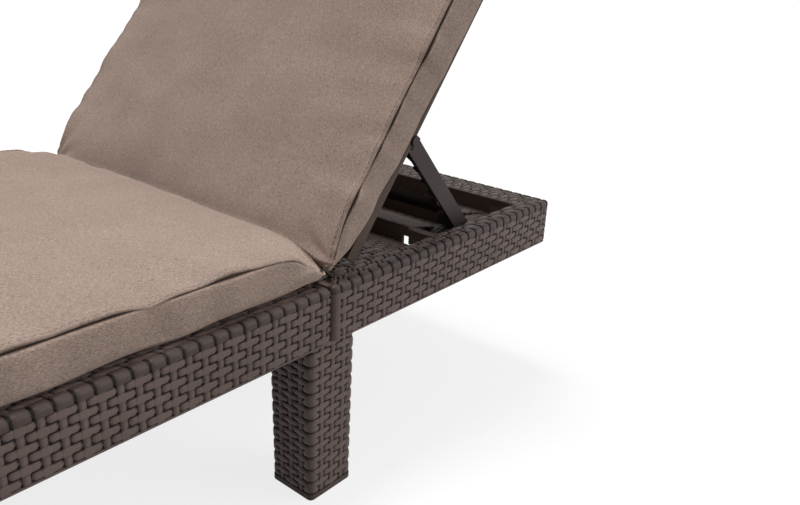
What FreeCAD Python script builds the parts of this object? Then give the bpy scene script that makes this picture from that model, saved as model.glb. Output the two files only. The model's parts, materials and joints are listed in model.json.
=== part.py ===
# Sun lounger of moulded woven-look resin: two frame sections on four legs, a backrest on
# pins with a ribbed prop under it, and a two-piece cushion. Millimetres, +Z up, foot end at
# -X, origin on the floor under the middle of the frame. Left and right are the sitter's.
import FreeCAD, Part
import math
import os
import re

doc = FreeCAD.newDocument("sun_lounger")
sheet = doc.addObject("Spreadsheet::Sheet", "Size")

SIZES = {
    # frame sections
    "seat_length": 1240, "head_length": 485, "frame_width": 660, "frame_top": 283,
    "rail_height": 70, "skirt_wall": 5, "deck_wall": 5, "rim_width": 30,
    "rib_wall": 3, "rib_depth": 32, "seat_rib_pitch": 155, "lane_rib_reach": 120,
    "fit_gap": 0.3, "overrun": 2,
    # notched deck of the head section
    "notch_front": 223, "end_rail_width": 62, "notch_depth": 24,
    "lane_width": 44, "lane_start": 232, "crest_start": 316, "crest_length": 6,
    "crest_drop": 9.2, "slot_length": 18, "slot_inset": 27, "slot_width": 28,
    "slot_rise": 9, "slot_under_wall": 7, "pocket_width": 40, "pocket_roof": 6,
    # legs and glides
    "leg_side": 76, "leg_taper": 2.4, "leg_wall": 4, "leg_cap": 8, "rear_leg_ahead": 30,
    "front_leg_setback": 170, "socket_wall": 4, "socket_lift": 6, "glide_band": 8,
    "glide_plug": 14,
    # fasteners
    "leg_screw_radius": 2.5, "leg_screw_length": 12, "screw_head_radius": 5,
    "screw_head_height": 3, "screw_gap": 0.1, "leg_screw_drop": 30, "leg_screw_inset": 14,
    "bolt_radius": 4, "bolt_gap": 0.2, "bolt_head_radius": 7.5, "bolt_head_height": 5.3,
    "nut_height": 6.5, "bolt_tip": 3, "washer_radius": 8, "washer_height": 1.6,
    "bolt_rib_offset": 25, "bolt_spread": 110,
    # backrest panel and its hinge
    "recline_angle": 52, "hinge_back": 74, "hinge_lift": 16, "panel_length": 640,
    "panel_tail": 16, "panel_inset": 29, "panel_face": 15, "panel_plate": 4,
    "panel_rim_depth": 16, "panel_rib_depth": 4.5, "panel_rib_wall": 4,
    "panel_rib_inset": 57, "panel_rib_start": 60, "panel_rib_pitch": 80,
    "pin_radius": 5, "pin_gap": 0.06, "knuckle_radius": 9, "knuckle_inset": 61,
    "knuckle_length": 40, "ear_radius": 10, "ear_wall": 12, "ear_gap": 0.5,
    "pin_head_radius": 7, "pin_head_height": 3, "clip_radius": 8.5, "clip_height": 2,
    "pin_tip": 1.5, "clip_gap": 0.05,
    # prop
    "prop_angle": 48.5, "prop_pivot_along": 154, "prop_pivot_below": 2, "arm_depth": 24,
    "arm_inset": 6, "arm_width": 37, "arm_plate": 4, "foot_drop": 8,
    "foot_block": 22, "gusset_pitch": 27, "gusset_wall": 3, "gusset_start": 20,
    "gusset_edge": 3, "lug_wall": 6, "lug_gap": 1, "lug_reach": 8.5,
    "bar_setback": 33, "bar_width": 27, "bar_plate": 4, "bar_flange": 5, "bar_flange_wall": 3,
    "prop_screw_radius": 2, "prop_screw_length": 7, "prop_screw_inset": 12,
    "prop_screw_spread": 9, "prop_head_radius": 4, "prop_head_height": 2.5,
    # cushion
    "cushion_inset": 13, "cushion_thick": 48, "seat_crown": 12, "back_crown": 14,
    "cushion_clear": 0.3, "seat_cushion_over": 4, "seat_cushion_foot_inset": 8,
    "side_draw": 4, "end_draw": 9, "seam_roll": 3, "back_cushion_tail": 36,
    "back_cushion_over": 12, "back_tail_cut": 16,
}
for row, (alias, value) in enumerate(SIZES.items(), start=1):
    sheet.set(f"A{row}", alias)
    sheet.set(f"B{row}", str(value))
    sheet.setAlias(f"B{row}", alias)
doc.recompute()

SIDES = {"left": -1, "right": 1}
NODES = []


def bind(item, prop, formula):
    """Tie one property to a formula in the sheet's own names."""
    words = re.split(r"([a-z_]{3,})", formula)
    item.setExpression(prop, "".join(f"Size.{word}" if word in SIZES else word for word in words))


def place(item, at, turn=None):
    """Put an object at three formulas, turned about an axis by a formula in degrees."""
    if turn:
        axis, angle = turn
        turned = FreeCAD.Rotation(FreeCAD.Vector(*axis), 1)
        item.Placement = FreeCAD.Placement(FreeCAD.Vector(), turned)
        bind(item, "Placement.Rotation.Angle", angle)
    for letter, formula in zip("xyz", at):
        bind(item, f"Placement.Base.{letter}", formula)
    return item


def box(at, size):
    item = doc.addObject("Part::Box", "Block")
    for prop, formula in zip(("Length", "Width", "Height"), size):
        bind(item, prop, formula)
    return place(item, at)


ACROSS = ((1, 0, 0), "-90")
ACROSS_BACK = ((1, 0, 0), "90")
ALONG = ((0, 1, 0), "90")
UPRIGHT = ((0, 0, 1), "0")


def rod(at, radius, height, turn=UPRIGHT):
    item = doc.addObject("Part::Cylinder", "Rod")
    bind(item, "Radius", radius)
    bind(item, "Height", height)
    return place(item, at, turn)


def hexagon(at, radius, height, turn):
    item = doc.addObject("Part::Prism", "Hexagon")
    item.Polygon = 6
    bind(item, "Circumradius", radius)
    bind(item, "Height", height)
    return place(item, at, turn)


def wedge(at, near, far, rise, turn):
    """Block whose near and far faces are (x low, x high, z low, z high), rise apart."""
    item = doc.addObject("Part::Wedge", "Wedge")
    bind(item, "Ymin", "0")
    bind(item, "Ymax", rise)
    for prop, formula in zip(("Xmin", "Xmax", "Zmin", "Zmax"), near):
        bind(item, prop, formula)
    for prop, formula in zip(("X2min", "X2max", "Z2min", "Z2max"), far):
        bind(item, prop, formula)
    return place(item, at, turn)


def fuse(items):
    item = doc.addObject("Part::MultiFuse", "Fused")
    item.Shapes = items
    return item


def cut(base, tools):
    item = doc.addObject("Part::Cut", "Cut")
    item.Base = base
    item.Tool = tools[0] if len(tools) == 1 else fuse(tools)
    return item


def group(items):
    item = doc.addObject("Part::Compound", "Group")
    item.Links = items
    return item


def node(item, label):
    item.Label = label
    NODES.append(item)
    return item


def beside(side, inner, width):
    """Low Y of a block that lies between inner and inner + width on one side."""
    return inner if side > 0 else f"-({inner}) - ({width})"


# Places that several pieces share
SEAM = "(seat_length - head_length) / 2"
FOOT_END = "-(seat_length + head_length) / 2"
HEAD_END = "(seat_length + head_length) / 2"
NOTCH_PITCH = "((head_length - notch_front - end_rail_width) / 2)"
RAIL_LOW = "frame_top - rail_height"
DECK_LOW = "frame_top - deck_wall"
FLOOR_LOW = "frame_top - notch_depth - deck_wall"
TRAY_HALF = "frame_width / 2 - rim_width"
LANE_IN = f"{TRAY_HALF} - lane_width"
PANEL_HALF = "(frame_width / 2 - panel_inset)"
RIB_HALF = f"({PANEL_HALF} - panel_rib_inset)"
KNUCKLE_IN = f"({PANEL_HALF} - knuckle_inset - knuckle_length)"
ARM_OUT = f"({PANEL_HALF} - arm_inset)"
INNER_HALF = "frame_width / 2 - skirt_wall"
LEG_OUT = "frame_width / 2 - skirt_wall - fit_gap"
LEG_IN = f"{LEG_OUT} - leg_side"
REAR_LEG = f"{SEAM} - rear_leg_ahead"
FRONT_LEG = f"{FOOT_END} + front_leg_setback"
BOLT_LEVEL = "frame_top - rail_height / 2"
SCREW_LEVEL = f"{DECK_LOW} - leg_screw_drop"
HINGE_X = f"{SEAM} + hinge_back"
HINGE_Z = "frame_top + hinge_lift"
PIN_IN = f"{KNUCKLE_IN} - ear_gap - ear_wall"
PIN_SPAN = "knuckle_length + 2 * (ear_gap + ear_wall)"
ARM_IN = f"{ARM_OUT} - arm_width"
BAR_TOP = "arm_depth / 2 - arm_plate"
LEAN = "recline_angle * 1 deg"
PIVOT_X = f"{HINGE_X} + prop_pivot_along * cos({LEAN}) + prop_pivot_below * sin({LEAN})"
PIVOT_Z = f"{HINGE_Z} + prop_pivot_along * sin({LEAN}) - prop_pivot_below * cos({LEAN})"
PROP_TILT = "prop_angle * 1 deg"
ARM_RUN = f"({PIVOT_Z} - frame_top + foot_drop) / sin({PROP_TILT})"
ARM_LENGTH = f"({ARM_RUN} + arm_depth / 2 / tan({PROP_TILT}))"
BAR_PLACE = f"({ARM_RUN} - bar_setback)"
RIB_SHARES = (-0.25, 0, 0.25)
BOLT_OUT = f"({RIB_SHARES[2]} * frame_width + bolt_rib_offset)"
BOLT_PLACES = (f"-{BOLT_OUT}", f"-{BOLT_OUT} + bolt_spread", f"{BOLT_OUT} - bolt_spread", BOLT_OUT)


# Leg sockets: pockets in the sections for the legs, and the walls that the leg screws pass
def leg_pocket(leg_x, side):
    width = "leg_side + 2 * fit_gap"
    at = (f"{leg_x} - fit_gap", beside(side, f"{LEG_IN} - fit_gap", width), f"{RAIL_LOW} - overrun")
    return box(at, (width, width, f"{DECK_LOW} - ({RAIL_LOW}) + overrun"))


def socket_walls(low_x, high_x, cross_places, side):
    """A wall along the leg's inner face, and cross walls at the given places."""
    low_z = f"{RAIL_LOW} + socket_lift"
    height = "rail_height - deck_wall - socket_lift"
    inner = f"{LEG_IN} - fit_gap - socket_wall"
    reach = "leg_side + 2 * fit_gap + socket_wall"
    walls = [box((low_x, beside(side, inner, "socket_wall"), low_z),
                 (f"{high_x} - ({low_x})", "socket_wall", height))]
    for cross in cross_places:
        walls.append(box((cross, beside(side, inner, reach), low_z), ("socket_wall", reach, height)))
    return walls


def screw_places(leg_x):
    return (f"{leg_x} + leg_screw_inset", f"{leg_x} + leg_side - leg_screw_inset")


def leg_screw_hole(screw_x, side, inner, depth):
    """A hole along Y that starts inner from the middle and runs outwards."""
    turn = ACROSS if side > 0 else ACROSS_BACK
    start = inner if side > 0 else f"-({inner})"
    return rod((screw_x, start, SCREW_LEVEL), "leg_screw_radius + screw_gap", depth, turn)


SOCKET_IN = f"{LEG_IN} - fit_gap - socket_wall"
SCREW_HOLE = "socket_wall + fit_gap + leg_wall + leg_taper + 2 * overrun"


def end_bolt_holes():
    return [rod((f"{SEAM} - skirt_wall - overrun", y, BOLT_LEVEL), "bolt_radius + bolt_gap",
                "2 * (skirt_wall + overrun)", ALONG) for y in BOLT_PLACES]


# Seat section: one moulding, an inverted tray with a flat deck and ribs under it
def seat_frame():
    shell = cut(
        box((FOOT_END, "-frame_width / 2", RAIL_LOW), ("seat_length", "frame_width", "rail_height")),
        [box((f"{FOOT_END} + skirt_wall", f"-({INNER_HALF})", f"{RAIL_LOW} - overrun"),
             ("seat_length - 2 * skirt_wall", "frame_width - 2 * skirt_wall",
              "rail_height - deck_wall + overrun"))])
    parts = [shell]
    rib_low = f"{DECK_LOW} - rib_depth"
    rib_count = int(SIZES["seat_length"] / SIZES["seat_rib_pitch"])
    for index in range(1, rib_count):
        parts.append(box((f"{FOOT_END} + {index} * seat_rib_pitch", f"-({INNER_HALF})", rib_low),
                         ("rib_wall", "frame_width - 2 * skirt_wall", "rib_depth")))
    for rib_share in RIB_SHARES:
        rib_y = f"{rib_share} * frame_width - rib_wall / 2"
        parts.append(box((f"{FOOT_END} + skirt_wall", rib_y, rib_low),
                         ("seat_length - 2 * skirt_wall", "rib_wall", "rib_depth")))
    cuts = end_bolt_holes()
    for side in SIDES.values():
        parts += socket_walls(f"{REAR_LEG} - fit_gap - socket_wall", f"{SEAM} - skirt_wall",
                              [f"{REAR_LEG} - fit_gap - socket_wall"], side)
        parts += socket_walls(f"{FRONT_LEG} - fit_gap - socket_wall",
                              f"{FRONT_LEG} + leg_side + fit_gap + socket_wall",
                              [f"{FRONT_LEG} - fit_gap - socket_wall",
                               f"{FRONT_LEG} + leg_side + fit_gap"], side)
        cuts += [leg_pocket(REAR_LEG, side), leg_pocket(FRONT_LEG, side)]
        for screw_x in (screw_places(REAR_LEG)[0],) + screw_places(FRONT_LEG):
            cuts.append(leg_screw_hole(screw_x, side, f"{SOCKET_IN} - overrun", SCREW_HOLE))
    return node(cut(fuse(parts), cuts), "seat_frame")


# Head section: rails round a notched deck of ramps, with a lane for each arm of the prop
def notch(index):
    return f"{SEAM} + notch_front + {index} * {NOTCH_PITCH}"


def head_frame():
    tray = f"2 * ({TRAY_HALF})"
    shell_cuts = [
        box((f"{SEAM} + skirt_wall", f"-({INNER_HALF})", f"{RAIL_LOW} - overrun"),
            (f"notch_front - {NOTCH_PITCH} - skirt_wall", "frame_width - 2 * skirt_wall",
             f"{DECK_LOW} - ({RAIL_LOW}) + overrun")),
        box((f"{SEAM} + skirt_wall", f"-({INNER_HALF})", f"{RAIL_LOW} - overrun"),
            ("head_length - 2 * skirt_wall", "frame_width - 2 * skirt_wall",
             f"{FLOOR_LOW} - ({RAIL_LOW}) + overrun")),
        box((f"{notch(2)} + deck_wall", f"-({INNER_HALF})", f"{RAIL_LOW} - overrun"),
            (f"{HEAD_END} - skirt_wall - deck_wall - ({notch(2)})", "frame_width - 2 * skirt_wall",
             f"{DECK_LOW} - ({RAIL_LOW}) + overrun"))]
    relief_half = f"{LANE_IN} - deck_wall"
    for index in range(3):
        start = f"{notch(index)} - {NOTCH_PITCH}"
        shell_cuts.append(wedge((start, f"-({TRAY_HALF})", "frame_top"), ("0", NOTCH_PITCH, "0", tray),
                                (NOTCH_PITCH, NOTCH_PITCH, "0", tray), "notch_depth", ACROSS))
        run = f"{NOTCH_PITCH} - deck_wall"
        shell_cuts.append(wedge((f"{start} + deck_wall", relief_half, FLOOR_LOW),
                                ("0", run, "0", f"2 * ({relief_half})"),
                                ("0", "0", "0", f"2 * ({relief_half})"),
                                f"notch_depth * ({run}) / {NOTCH_PITCH}", ACROSS_BACK))
    lane_run = f"notch_front + 2 * {NOTCH_PITCH} - lane_start"
    humps = []
    for side in SIDES.values():
        low_y = beside(side, LANE_IN, "lane_width")
        high_y = f"{low_y} + lane_width"
        shell_cuts.append(box((f"{SEAM} + lane_start", low_y, "frame_top - notch_depth"),
                              (lane_run, "lane_width", "notch_depth + overrun")))
        humps.append(wedge((f"{SEAM} + lane_start", high_y, "frame_top - notch_depth"),
                           ("0", lane_run, "0", "lane_width"),
                           ("crest_start - lane_start", "crest_start - lane_start + crest_length",
                            "0", "lane_width"), "notch_depth - crest_drop", ACROSS_BACK))
    shell = cut(box((SEAM, "-frame_width / 2", RAIL_LOW), ("head_length", "frame_width", "rail_height")),
                shell_cuts)
    parts = [shell] + humps
    rib_low = f"{FLOOR_LOW} - rib_depth"
    for index in range(3):
        parts.append(box((notch(index), f"-({INNER_HALF})", rib_low),
                         ("rib_wall", "frame_width - 2 * skirt_wall", "rib_depth")))
    for rib_share in RIB_SHARES:
        rib_y = f"{rib_share} * frame_width - rib_wall / 2"
        rib_start = f"{notch(0)} - lane_rib_reach"
        parts.append(box((rib_start, rib_y, rib_low),
                         (f"{HEAD_END} - skirt_wall - ({rib_start})", "rib_wall", "rib_depth")))
    cuts = end_bolt_holes()
    ears = []
    for side in SIDES.values():
        parts += socket_walls(f"{SEAM} + skirt_wall", f"{REAR_LEG} + leg_side + fit_gap + socket_wall",
                              [f"{REAR_LEG} + leg_side + fit_gap"], side)
        cuts.append(leg_pocket(REAR_LEG, side))
        cuts.append(leg_screw_hole(screw_places(REAR_LEG)[1], side, f"{SOCKET_IN} - overrun", SCREW_HOLE))
        slot_y = beside(side, f"{TRAY_HALF} - slot_inset - slot_width", "slot_width")
        cuts.append(box((f"{notch(0)} - slot_length + slot_under_wall", slot_y, f"{FLOOR_LOW} - overrun"),
                        ("slot_length", "slot_width", "deck_wall + slot_rise + overrun")))
        pocket_y = beside(side, f"{TRAY_HALF} - pocket_width", "pocket_width")
        pocket_height = f"frame_top - pocket_roof - ({FLOOR_LOW}) + overrun"
        cuts.append(box((f"{notch(2)} - slot_length + slot_under_wall", pocket_y, f"{FLOOR_LOW} - overrun"),
                        ("slot_length", "pocket_width", pocket_height)))
        for low in (PIN_IN, f"{KNUCKLE_IN} + knuckle_length + ear_gap"):
            ear_y = beside(side, low, "ear_wall")
            ears.append(box((f"{HINGE_X} - ear_radius", ear_y, f"{DECK_LOW} + overrun"),
                            ("2 * ear_radius", "ear_wall", "hinge_lift + deck_wall - overrun")))
            ears.append(rod((HINGE_X, ear_y, HINGE_Z), "ear_radius", "ear_wall", ACROSS))
        bore = f"{PIN_SPAN} + 2 * overrun"
        cuts.append(rod((HINGE_X, beside(side, f"{PIN_IN} - overrun", bore), HINGE_Z),
                        "pin_radius + pin_gap", bore, ACROSS))
    return node(cut(fuse(parts + ears), cuts), "head_frame")


# Legs: hollow tapered posts, closed at the top, with a glide plugged into each foot
def leg(label, leg_x, side):
    high_y = LEG_OUT if side > 0 else f"-({LEG_IN})"
    height = f"{DECK_LOW} - glide_band"
    foot = ("leg_taper", "leg_side - leg_taper") * 2
    head = ("0", "leg_side") * 2
    inner_foot = ("leg_taper + leg_wall", "leg_side - leg_taper - leg_wall") * 2
    inner_head = ("leg_wall", "leg_side - leg_wall") * 2
    post = wedge((leg_x, high_y, "glide_band"), foot, head, height, ACROSS_BACK)
    hollow = wedge((leg_x, high_y, "glide_band"), inner_foot, inner_head, f"{height} - leg_cap", ACROSS_BACK)
    holes = [leg_screw_hole(screw_x, side, f"{SOCKET_IN} - overrun", SCREW_HOLE)
             for screw_x in screw_places(leg_x)]
    return node(cut(post, [hollow] + holes), label)


def glide(label, leg_x, side):
    low_y = beside(side, LEG_IN, "leg_side")
    margin = "leg_taper"
    plug = "leg_taper + leg_wall + fit_gap"
    band = box((f"{leg_x} + {margin}", f"{low_y} + {margin}", "0"),
               (f"leg_side - 2 * {margin}", f"leg_side - 2 * {margin}", "glide_band"))
    insert = box((f"{leg_x} + {plug}", f"{low_y} + {plug}", "glide_band"),
                 (f"leg_side - 2 * ({plug})", f"leg_side - 2 * ({plug})", "glide_plug"))
    return node(fuse([band, insert]), label)


def leg_screws():
    screws = []
    for leg_x in (FRONT_LEG, REAR_LEG):
        for side in SIDES.values():
            turn = ACROSS if side > 0 else ACROSS_BACK
            for screw_x in screw_places(leg_x):
                seat = SOCKET_IN if side > 0 else f"-({SOCKET_IN})"
                back = f"{SOCKET_IN} - screw_head_height"
                head = back if side > 0 else f"-({back})"
                screws.append(fuse([
                    rod((screw_x, head, SCREW_LEVEL), "screw_head_radius", "screw_head_height", turn),
                    rod((screw_x, seat, SCREW_LEVEL), "leg_screw_radius", "leg_screw_length", turn)]))
    return node(group(screws), "leg_screws")


# Seam fasteners: hex bolts through the two end walls, with washers and nuts
def seam_fasteners():
    bolts = []
    washers = []
    nuts = []
    head_face = f"{SEAM} - skirt_wall - washer_height"
    nut_face = f"{SEAM} + skirt_wall + washer_height"
    shank = "2 * (skirt_wall + washer_height) + nut_height + bolt_tip"
    for y in BOLT_PLACES:
        bolts.append(fuse([
            hexagon((f"{head_face} - bolt_head_height", y, BOLT_LEVEL),
                    "bolt_head_radius", "bolt_head_height", ALONG),
            rod((head_face, y, BOLT_LEVEL), "bolt_radius", shank, ALONG)]))
        nuts.append(cut(
            hexagon((nut_face, y, BOLT_LEVEL), "bolt_head_radius", "nut_height", ALONG),
            [rod((f"{nut_face} - overrun", y, BOLT_LEVEL), "bolt_radius + bolt_gap",
                 "nut_height + 2 * overrun", ALONG)]))
        for face in (head_face, f"{SEAM} + skirt_wall"):
            washers.append(cut(
                rod((face, y, BOLT_LEVEL), "washer_radius", "washer_height", ALONG),
                [rod((f"{face} - overrun", y, BOLT_LEVEL), "bolt_radius + bolt_gap",
                     "washer_height + 2 * overrun", ALONG)]))
    node(group(bolts), "seam_bolts")
    node(group(washers), "seam_washers")
    node(group(nuts), "seam_nuts")


# Hinge pins: headed pins through the ears and knuckles, each kept by a push-on clip
def headed_pin(label, at_x, at_z, side, inner, span):
    """Pin whose head seats on the outer face at inner + span, past a clip at the inner face."""
    start = f"{inner} - clip_height - pin_tip"
    length = f"{span} + clip_height + pin_tip"
    outer = f"{inner} + {span}"
    return node(fuse([
        rod((at_x, beside(side, start, length), at_z), "pin_radius", length, ACROSS),
        rod((at_x, beside(side, outer, "pin_head_height"), at_z),
            "pin_head_radius", "pin_head_height", ACROSS)]), label)


def push_clip(at_x, at_z, side, inner):
    low = f"{inner} - clip_height"
    through = "clip_height + 2 * overrun"
    ring = rod((at_x, beside(side, low, "clip_height"), at_z), "clip_radius", "clip_height", ACROSS)
    return cut(ring, [rod((at_x, beside(side, f"{low} - overrun", through), at_z),
                          "pin_radius + clip_gap", through, ACROSS)])


def hinge_pins():
    for name, side in SIDES.items():
        headed_pin(f"hinge_pin_{name}", HINGE_X, HINGE_Z, side, PIN_IN, PIN_SPAN)
    clips = [push_clip(HINGE_X, HINGE_Z, side, PIN_IN) for side in SIDES.values()]
    node(group(clips), "hinge_pin_clips")


# Backrest panel, drawn flat about its hinge axis and then leaned back
LUG_IN = f"{ARM_IN} - lug_gap - lug_wall"
LUG_SPAN = f"{PANEL_HALF} - ({LUG_IN})"
RIM_IN = f"{ARM_OUT} + lug_gap"


def backrest_panel():
    rim = f"{PANEL_HALF} - ({RIM_IN})"
    run = "panel_length + panel_tail"
    plate_low = "panel_face - panel_plate"
    rim_low = "panel_face - panel_rim_depth"
    rib_low = f"{plate_low} - panel_rib_depth"
    width = f"2 * {PANEL_HALF}"
    parts = [box(("-panel_tail", f"-{PANEL_HALF}", plate_low), (run, width, "panel_plate")),
             box((f"panel_length - ({rim})", f"-{PANEL_HALF}", rim_low), (rim, width, "panel_rim_depth"))]
    rib_count = int((SIZES["panel_length"] - SIZES["panel_rib_start"]) / SIZES["panel_rib_pitch"]) + 1
    for index in range(rib_count):
        parts.append(box((f"panel_rib_start + {index} * panel_rib_pitch", f"-{RIB_HALF}", rib_low),
                         ("panel_rib_wall", f"2 * {RIB_HALF}", "panel_rib_depth")))
    for rib_share in (-1, -0.5, 0, 0.5, 1):
        rib_y = f"{rib_share} * {RIB_HALF} - panel_rib_wall / 2"
        parts.append(box(("panel_rib_start", rib_y, rib_low),
                         ("panel_length - panel_rib_start", "panel_rib_wall", "panel_rib_depth")))
    bores = []
    lug_height = f"{plate_low} + prop_pivot_below + lug_reach"
    for side in SIDES.values():
        parts.append(box(("-panel_tail", beside(side, RIM_IN, rim), rim_low), (run, rim, "panel_rim_depth")))
        knuckle_y = beside(side, KNUCKLE_IN, "knuckle_length")
        parts.append(rod(("0", knuckle_y, "0"), "knuckle_radius", "knuckle_length", ACROSS))
        parts.append(box(("-knuckle_radius", knuckle_y, "0"),
                         ("2 * knuckle_radius", "knuckle_length", f"{plate_low} + panel_plate / 2")))
        bores.append(rod(("0", beside(side, f"{KNUCKLE_IN} - overrun", "knuckle_length + 2 * overrun"), "0"),
                         "pin_radius + pin_gap", "knuckle_length + 2 * overrun", ACROSS))
        for low, wall in ((LUG_IN, "lug_wall"), (RIM_IN, rim)):
            parts.append(box(("prop_pivot_along - lug_reach", beside(side, low, wall),
                              "-prop_pivot_below - lug_reach"), ("2 * lug_reach", wall, lug_height)))
        lug_bore = f"{LUG_SPAN} + 2 * overrun"
        bores.append(rod(("prop_pivot_along", beside(side, f"{LUG_IN} - overrun", lug_bore),
                          "-prop_pivot_below"), "pin_radius + pin_gap", lug_bore, ACROSS))
    panel = cut(fuse(parts), bores)
    return node(place(panel, (HINGE_X, "0", HINGE_Z), ((0, 1, 0), "-recline_angle")), "backrest_panel")


# Prop: two ribbed arms that hang on pins under the panel, tied by a flanged cross bar
def prop_pins():
    for name, side in SIDES.items():
        headed_pin(f"prop_pin_{name}", PIVOT_X, PIVOT_Z, side, LUG_IN, LUG_SPAN)
    clips = [push_clip(PIVOT_X, PIVOT_Z, side, LUG_IN) for side in SIDES.values()]
    node(group(clips), "prop_pin_clips")


def set_at_pivot(item):
    return place(item, (PIVOT_X, "0", PIVOT_Z), ((0, 1, 0), "prop_angle"))


def prop_screw_places():
    return [(side, along) for side in SIDES.values()
            for along in (f"{BAR_PLACE} - prop_screw_spread", f"{BAR_PLACE} + prop_screw_spread")]


def prop_screw_rod(side, along, low, radius, height):
    inset = f"{ARM_IN} + prop_screw_inset"
    return rod((along, inset if side > 0 else f"-({inset})", low), radius, height)


def arm_run():
    """Length along an arm's middle from its pin to the level of its foot."""
    lean = math.radians(SIZES["recline_angle"])
    above_deck = (SIZES["hinge_lift"] + SIZES["prop_pivot_along"] * math.sin(lean)
                  - SIZES["prop_pivot_below"] * math.cos(lean))
    return (above_deck + SIZES["foot_drop"]) / math.sin(math.radians(SIZES["prop_angle"]))


def prop_arm(name, side):
    low = "-arm_depth / 2"
    plate_in = f"{ARM_OUT} - arm_plate"
    parts = [
        box(("0", beside(side, plate_in, "arm_plate"), low), (ARM_LENGTH, "arm_plate", "arm_depth")),
        box(("0", beside(side, ARM_IN, "arm_width"), BAR_TOP), (ARM_LENGTH, "arm_width", "arm_plate")),
        box((f"{ARM_LENGTH} - foot_block", beside(side, ARM_IN, "arm_width"), low),
            ("foot_block", "arm_width", "arm_depth")),
        rod(("0", beside(side, ARM_IN, "arm_width"), "0"), "arm_depth / 2", "arm_width", ACROSS)]
    gap = "arm_width - arm_plate"
    tall = ("0", "gusset_wall", f"{low} + gusset_edge", BAR_TOP)
    short = ("0", "gusset_wall", f"{BAR_TOP} - gusset_edge", BAR_TOP)
    open_run = arm_run() - SIZES["foot_block"] - SIZES["gusset_start"]
    count = int(open_run / SIZES["gusset_pitch"]) + 1
    bar_middle = arm_run() - SIZES["bar_setback"]
    bar_reach = SIZES["bar_width"] / 2
    for index in range(count):
        along = SIZES["gusset_start"] + index * SIZES["gusset_pitch"]
        if -bar_reach - SIZES["gusset_wall"] < along - bar_middle < bar_reach:
            continue
        near, far = (short, tall) if side > 0 else (tall, short)
        parts.append(wedge((f"gusset_start + {index} * gusset_pitch", beside(side, ARM_IN, gap), "0"),
                           near, far, gap, UPRIGHT))
    bore = rod(("0", beside(side, f"{ARM_IN} - overrun", "arm_width + 2 * overrun"), "0"),
               "pin_radius + pin_gap", "arm_width + 2 * overrun", ACROSS)
    threads = [prop_screw_rod(screw_side, along, f"{BAR_TOP} - overrun", "prop_screw_radius + screw_gap",
                              "prop_screw_length - bar_plate + overrun")
               for screw_side, along in prop_screw_places() if screw_side == side]
    arm = set_at_pivot(cut(fuse(parts), [bore] + threads))
    below_foot = box((PIVOT_X, "-frame_width / 2", f"frame_top - foot_drop - {ARM_LENGTH}"),
                     (f"2 * {ARM_LENGTH}", "frame_width", ARM_LENGTH))
    return node(cut(arm, [below_foot]), f"prop_arm_{name}")


def prop_cross_bar():
    start = f"{BAR_PLACE} - bar_width / 2"
    half = f"{ARM_OUT} - arm_plate"
    low = f"{BAR_TOP} - bar_plate"
    parts = [box((start, f"-({half})", low), ("bar_width", f"2 * ({half})", "bar_plate"))]
    for edge in (start, f"{start} + bar_width - bar_flange_wall"):
        parts.append(box((edge, f"-({ARM_IN})", f"{low} - bar_flange"),
                         ("bar_flange_wall", f"2 * ({ARM_IN})", "bar_flange")))
    holes = [prop_screw_rod(side, along, f"{low} - overrun", "prop_screw_radius + screw_gap",
                            "bar_plate + 2 * overrun") for side, along in prop_screw_places()]
    return node(set_at_pivot(cut(fuse(parts), holes)), "prop_cross_bar")


def prop_screws():
    low = f"{BAR_TOP} - bar_plate"
    under = f"{low} - prop_head_height"
    screws = [fuse([prop_screw_rod(side, along, under, "prop_head_radius", "prop_head_height"),
                    prop_screw_rod(side, along, low, "prop_screw_radius", "prop_screw_length")])
              for side, along in prop_screw_places()]
    return node(set_at_pivot(group(screws)), "prop_screws")


# Cushions: crowned pads with boxed sides that draw in between the corners
def cushion(label, length, crown, tail_lean):
    """Pad along +X from its rest face at zero height, its first end leaning by tail_lean."""
    thick = SIZES["cushion_thick"]
    half = SIZES["frame_width"] / 2 - SIZES["cushion_inset"]
    run_shares = (0, 0.006, 0.02, 0.06, 0.16, 0.3, 0.5, 0.7, 0.84, 0.94, 0.98, 0.994, 1)
    height_shares = (0.6, 0.84, 0.96, 1, 1, 1, 1, 1, 1, 1, 0.96, 0.84, 0.6)
    crown_shares = (0, 0.1, 0.25, 0.5, 0.78, 0.95, 1, 0.95, 0.78, 0.5, 0.25, 0.1, 0)
    draw_shares = (0, 0, 0.05, 0.2, 0.5, 0.85, 1, 0.85, 0.5, 0.2, 0.05, 0, 0)
    wires = []
    for run, height, rise, draw in zip(run_shares, height_shares, crown_shares, draw_shares):
        end = 1 - height
        wide = half - SIZES["seam_roll"] - SIZES["side_draw"] * draw - SIZES["end_draw"] * end
        high = thick * (1 + height) / 2
        low = thick * (1 - height) / 2
        lean = tail_lean * max(0, 1 - run / run_shares[4])

        def at(y, z):
            return FreeCAD.Vector(run * length + lean * (1 - z / thick), y, z)

        middle = (low + high) / 2
        bulge = SIZES["seam_roll"] * height
        corners = (at(-wide, low), at(wide, low), at(wide, high), at(-wide, high))
        wires.append(Part.Wire([
            Part.LineSegment(corners[0], corners[1]).toShape(),
            Part.Arc(corners[1], at(wide + bulge, middle), corners[2]).toShape(),
            Part.Arc(corners[2], at(0, high + crown * rise + SIZES["cushion_clear"]), corners[3]).toShape(),
            Part.Arc(corners[3], at(-wide - bulge, middle), corners[0]).toShape()]))
    item = doc.addObject("Part::Feature", label)
    item.Shape = Part.makeLoft(wires, True, True)
    return node(item, label)


def seat_cushion():
    run = SIZES["seat_length"] - SIZES["seat_cushion_foot_inset"] + SIZES["seat_cushion_over"]
    pad = cushion("seat_cushion", run, SIZES["seat_crown"], 0)
    return place(pad, (f"{FOOT_END} + seat_cushion_foot_inset", "0", "frame_top + cushion_clear"))


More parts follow.
